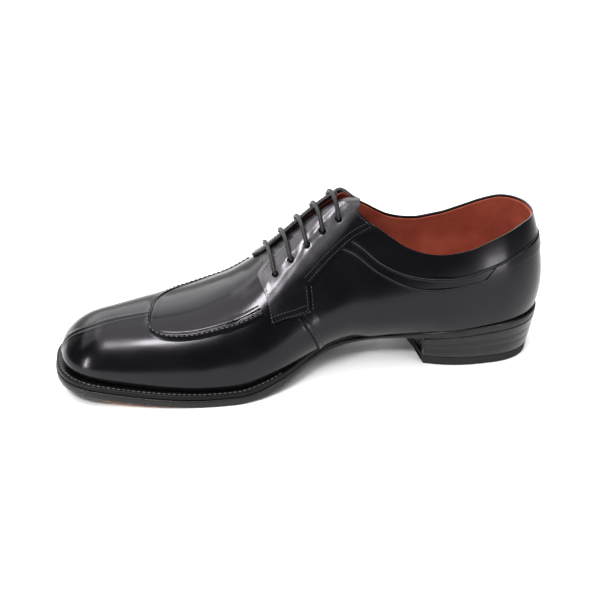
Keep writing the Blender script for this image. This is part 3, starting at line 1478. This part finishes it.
@dataclass
class Bottom:
    """Outsole, welt, heel and footbed."""

    outline: Outline
    heel_length: float = 82.0
    taper: float = 4.0
    notch: float = 11.0
    notch_length: float = 3.5
    top_piece: float = 6.0
    foot_round: float = 0.8
    bevel_in: float = 8.0
    bevel_up: float = 2.2
    edge_round: tuple[float, float] = (0.35, 1.1)
    # place and height from the upper corner, per unit of its rounding
    shoulder: Knots = ((-1.6, 0.0), (-0.7, -0.2), (-0.2, -0.6))
    tread_inset: float = 1.6
    welt_start: float = 0.385
    # place from the welt's edge inwards and height over its top, with the stitch groove
    welt_top: Knots = (
        (-3.3, 0.0), (-2.9, 0.0), (-2.45, -0.12), (-2.0, -0.28), (-1.55, -0.12), (-1.1, 0.05),
        (-0.6, 0.02), (-0.2, -0.18), (0.0, -0.55))
    groove: float = 2.0
    groove_depth: float = 0.16
    welt_stitch: tuple[float, float, float] = (3.0, 2.1, 0.8)
    # share of the height and dent, with a groove between the lifts
    stack_side: Knots = (
        (1.0, -0.5), (0.985, 0.0), (0.72, 0.0), (0.7, -0.09), (0.68, 0.0), (0.44, 0.0),
        (0.42, -0.09), (0.4, 0.0), (0.03, 0.0), (0.0, -0.3))
    rubber_side: Knots = ((1.0, -0.35), (0.94, 0.0), (0.5, 0.05), (0.07, 0.0), (0.0, -0.45))
    # out from the feather line, and height over it; the last one goes down to the outsole
    footbed_side: Knots = (
        (-6.0, 2.75), (-4.0, 2.7), (-3.0, 2.45), (-2.55, 1.9), (-2.55, 0.8), (-2.55, 0.05),
        (-4.3, 0.05))

    def outsole(self) -> None:
        """Leather outsole: a slightly full edge, rounded above, bevelled at the waist."""
        last, walk = self.outline.last, self.outline.walks()
        at = last.share(walk)[:, None]
        low, high = last.bottom(at), last.bottom(at) + last.outsole
        bevel = last.under[2](at)
        inset = self.foot_round + bevel * self.bevel_in
        lift = self.foot_round + bevel * self.bevel_up
        turn = np.linspace(0, np.pi / 2, 7)[None]
        edge = self.outline.sole(walk)[:, None]
        soft = self.edge_round[0] + self.edge_round[1] * np.clip(bevel, 0, 1)
        place, fall = np.array(self.shoulder).T
        out = np.concatenate([edge - 4, edge + place * soft, edge + 0.1, edge + 0.12,
                              edge - inset * (1 - np.cos(turn))], 1)
        z = np.concatenate([high - 0.02, high + fall * soft, high - 1.5 * soft,
                            low + lift + 0.4 * (high - low - lift),
                            low + lift * (1 - np.sin(turn))], 1)
        piece("outsole_leather", *self.outline.layer(walk, out, z), SOLE_EDGE, ("outsole",))
        self.tread(walk[walk > float(last.walk(np.array(0.5)))])

    def tread(self, walk: Array) -> None:
        """Natural leather face of the sole, ahead of the heel, a hair below the edge's ink.

        Args:
            walk: walks from the heel's breast to the tip.
        """
        last = self.outline.last
        at = last.share(walk)
        inset = self.tread_inset + last.under[2](at) * self.bevel_in
        sides = []
        for sign in (1.0, -1.0):
            edge = self.outline.sole(sign * walk) - inset
            sides.append(self.outline.at(sign * walk, edge[:, None])[:, 0])
        t = np.linspace(0, 1, 15)[None, :, None]
        plan = sides[0][:, None] + (sides[1] - sides[0])[:, None] * t
        z = np.broadcast_to(last.bottom(at)[:, None, None], plan.shape[:2] + (1,))
        low = np.concatenate([plan, z - 0.03], -1)
        piece("tread_leather", low, grid_faces(*low.shape[:2]), TREAD, thick=0.2)

    def welt(self) -> None:
        """Welt: fills the space over the outsole round the forefoot, with a stitch groove
        near its edge and an indented side."""
        last, walk = self.outline.last, self.outline.walks()
        ahead = walk[last.share(walk) > self.welt_start]
        signed = np.concatenate([ahead[ahead > 0], ahead[ahead < 0]])
        at = last.share(signed)[:, None]
        low = last.bottom(at) + last.outsole + last.gap
        high = last.feather(at) - last.gap
        edge = self.outline.sole(signed)[:, None] - 0.5
        fit = np.clip((edge + 1.0) / 4.0, 0.25, 1.0)
        inner = np.minimum(-4.0, edge - 3.0)
        place, lift = np.array(self.welt_top).T
        out = np.concatenate([inner, edge + place * fit, edge - 0.1, edge - 0.05, edge - 0.25,
                              inner], 1)
        z = np.concatenate([high, high + lift * np.minimum((high - low) / last.welt_thick, 1),
                            low + 0.55 * (high - low), low + 0.2 * (high - low), low, low], 1)
        plan = self.outline.at(signed, out)
        points = np.concatenate([plan, z[..., None]], -1)
        points = np.concatenate([points, points[:, :1]], 1)
        rows, columns = points.shape[:2]
        k = np.arange(columns // 2 - 1)
        end = np.stack([k, k + 1, columns - 3 - k, columns - 2 - k], -1)
        other_end = end[:, ::-1] + (rows - 1) * columns
        quads = np.concatenate([grid_faces(rows, columns), end, other_end])
        piece("welt_leather", points, quads, WELT, ("welt",))
        self.welt_stitches(signed, high[:, 0], edge[:, 0] - self.groove)

    def welt_stitches(self, walk: Array, high: Array, out: Array) -> None:
        """Stitches in the welt's groove, as flat six-sided beads along the plan line.

        Args:
            walk: signed walks in order along the welt.
            high: height of the welt's top there.
            out: distance of the groove out of the feather line.
        """
        wide = out > 0.6
        plan = self.outline.at(walk, out[:, None])[:, 0][wide]
        points = np.concatenate([plan, (high[wide] - self.groove_depth)[:, None]], 1)
        run = np.concatenate([[0.0], np.cumsum(np.linalg.norm(np.diff(points, axis=0), axis=1))])
        pitch, length, width = self.welt_stitch
        count = int(run[-1] / pitch)
        here = (np.arange(count) + 0.5) * run[-1] / count
        centre = np.stack([np.interp(here, run, points[:, k]) for k in range(3)], -1)
        ahead = np.stack([np.interp(here + 0.5, run, points[:, k]) for k in range(3)], -1)
        tangent = unit(ahead - centre + TINY)
        aside = unit(np.cross(np.array([0.0, 0.0, 1.0]), tangent))
        up = np.broadcast_to(np.array([0.0, 0.0, 1.0]), centre.shape)
        piece("welt_stitches", *beads(centre, (tangent, aside, up), length, width), WELT_THREAD)

    def heel(self) -> None:
        """Stacked heel and its top piece: the sole's edge carried down with a taper, grooved
        between the lifts, with the front inner corner cut off."""
        last = self.outline.last
        front = (self.heel_length - 1.5) / last.length
        start = front - self.notch_length / last.length
        half = last.walk(spread((0, start, 60), (start, front, 8)))
        walk = np.concatenate([-half[::-1], half[1:]])
        at = last.share(walk)[:, None]
        edge = self.outline.sole(walk)[:, None]
        cut = np.where(walk[:, None] > 0, ramp(at, start, front), 0) * self.notch
        roof, seat = last.bottom(at) - last.gap, self.top_piece + last.gap
        for name, node, side, low, high, finish in (
                ("heel_stack_leather", "heel_stack", self.stack_side, seat, roof, STACK),
                ("top_piece_rubber", "top_piece", self.rubber_side, 0.0, self.top_piece, RUBBER)):
            share, dent = np.array(side).T
            z = low + (high - low) * share[None] + 0 * at
            out = edge - self.taper * (1 - z / last.heel_height) + dent - cut
            piece(name, *self.outline.layer(walk, out, z), finish, (node,), edge=0.25)

    def footbed(self) -> None:
        """Insole with its sock lining's rounded rim, and the filler under it."""
        last, walk = self.outline.last, self.outline.walks()
        at = last.share(walk)[:, None]
        rest = last.feather(at)
        floor = last.bottom(at) + last.outsole + last.gap
        place, lift = np.array(self.footbed_side).T
        out = np.append(place, place[-1])[None] + 0 * at
        z = np.concatenate([rest + lift, floor], 1)
        piece("footbed_leather", *self.outline.layer(walk, out, z), LINING, ("insole",))

    def build(self) -> None:
        """Makes the four parts of the bottom."""
        self.outsole()
        self.welt()
        self.heel()
        self.footbed()


@dataclass
class Studio:
    """Pale floor, soft lights and the camera."""

    target: tuple[float, float, float] = (0.119, -0.003, 0.041)
    camera: tuple[float, float, float] = (0.2135, 0.5356, 0.3509)
    lens: float = 60.0
    film: float = 36.0
    world: float = 0.05
    # name, azimuth, elevation, distance, sides, radiance
    lights: tuple[tuple[str, float, float, float, tuple[float, float], float], ...] = (
        ("key", 59, 47, 0.85, (0.26, 0.13), 38),
        ("toe", 34, 11, 0.9, (0.045, 0.32), 46),
        ("glint", 124.5, -1.1, 0.585, (0.08, 0.045), 14),
        ("front", -14, 44, 1.1, (0.8, 0.5), 1.6),
        ("counter", 128, 45, 0.65, (0.3, 0.3), 4.5),
        ("overhead", 90, 88, 0.95, (1.5, 1.1), 2.25),
        ("behind", -80, 36, 1.2, (2.0, 0.9), 2.2),
    )
    wash_place: tuple[float, float, float] = (0.1, -2.2, 2.6)
    wash_back: tuple[float, float, float] = (0.0, 2.6, 1.8)
    wash_size: tuple[float, float] = (5.0, 0.8)
    wash_power: float = 85.0
    floor_half: float = 6.0
    floor_flat: float = 3.0

    def floor(self) -> None:
        """A wide floor whose far rim rises smoothly: height is a cubic of the distance past
        the flat middle."""
        row = np.linspace(-self.floor_half, self.floor_half, 81)
        x, y = np.meshgrid(row, row, indexing="ij")
        z = 0.08 * np.maximum(np.hypot(x, y) - self.floor_flat, 0) ** 3
        points = np.stack([x, y, z], -1).reshape(-1, 3)
        mesh = bpy.data.meshes.new("studio_floor")
        mesh.from_pydata(points.tolist(), [], grid_faces(*z.shape).tolist())
        mesh.polygons.foreach_set("use_smooth", np.ones(len(mesh.polygons), bool))
        mesh.materials.append(FLOOR.material())
        made = bpy.data.objects.new("studio_floor", mesh)
        bpy.context.scene.collection.objects.link(made)

    def light(self, name: str, azimuth: float, elevation: float, distance: float,
              size: tuple[float, float], radiance: float) -> None:
        """An oblong area light aimed at the shoe.

        Args:
            name: its name.
            azimuth: in degrees from +X towards +Y.
            elevation: in degrees over the floor.
            distance: from the shoe, in metres.
            size: its sides, in metres.
            radiance: brightness of its face; its power is pi x area x radiance.
        """
        turn, rise = np.radians(azimuth), np.radians(elevation)
        away = Vector((np.cos(turn) * np.cos(rise), np.sin(turn) * np.cos(rise), np.sin(rise)))
        power = np.pi * size[0] * size[1] * radiance
        self.lamp(name, Vector(self.target) + away * distance, away, size, power)

    def lamp(self, name: str, place: Vector, back: Vector, size: tuple[float, float],
             power: float) -> None:
        """An oblong area light.

        Args:
            name: its name.
            place: its middle.
            back: the direction behind it.
            size: its sides, in metres.
            power: in watts.
        """
        data = bpy.data.lights.new(name, "AREA")
        data.shape, data.size, data.size_y = "RECTANGLE", *size
        data.energy = power
        made = bpy.data.objects.new(name, data)
        made.location = place
        made.rotation_euler = back.to_track_quat("Z", "Y").to_euler()
        bpy.context.scene.collection.objects.link(made)

    def build(self) -> None:
        """Makes floor, world, lights and camera; the wash lights the far floor only."""
        self.floor()
        scene = bpy.context.scene
        scene.world = bpy.data.worlds.new("studio")
        scene.world.use_nodes = True
        sky = scene.world.node_tree.nodes["Background"]
        sky.inputs["Color"].default_value = (1, 1, 1, 1)
        sky.inputs["Strength"].default_value = self.world
        for light in self.lights:
            self.light(*light)
        self.lamp("wash", Vector(self.wash_place), Vector(self.wash_back), self.wash_size,
                  self.wash_power)
        data = bpy.data.cameras.new("camera")
        data.lens, data.sensor_width = self.lens, self.film
        made = bpy.data.objects.new("camera", data)
        made.location = self.camera
        aim = Vector(self.target) - Vector(self.camera)
        made.rotation_euler = aim.to_track_quat("-Z", "Y").to_euler()
        scene.collection.objects.link(made)
        scene.camera = made
        scene.view_settings.view_transform = "Standard"
        scene.view_settings.look = "Medium High Contrast"


def main() -> None:
    """Builds the shoe from the bottom up, then the studio."""
    logging.basicConfig(level=logging.INFO, format="%(name)s %(message)s")
    last = Last()
    inner, outer = (Facing(last, side) for side, _ in SIDES)
    for part in (Bottom(Outline(last)), Upper(last), Tongue(last), inner, outer,
                 Laces(last, inner), Seams(last)):
        LOG.info("building %s", type(part).__name__)
        part.build()
    Studio().build()


if __name__ == "__main__":
    main()
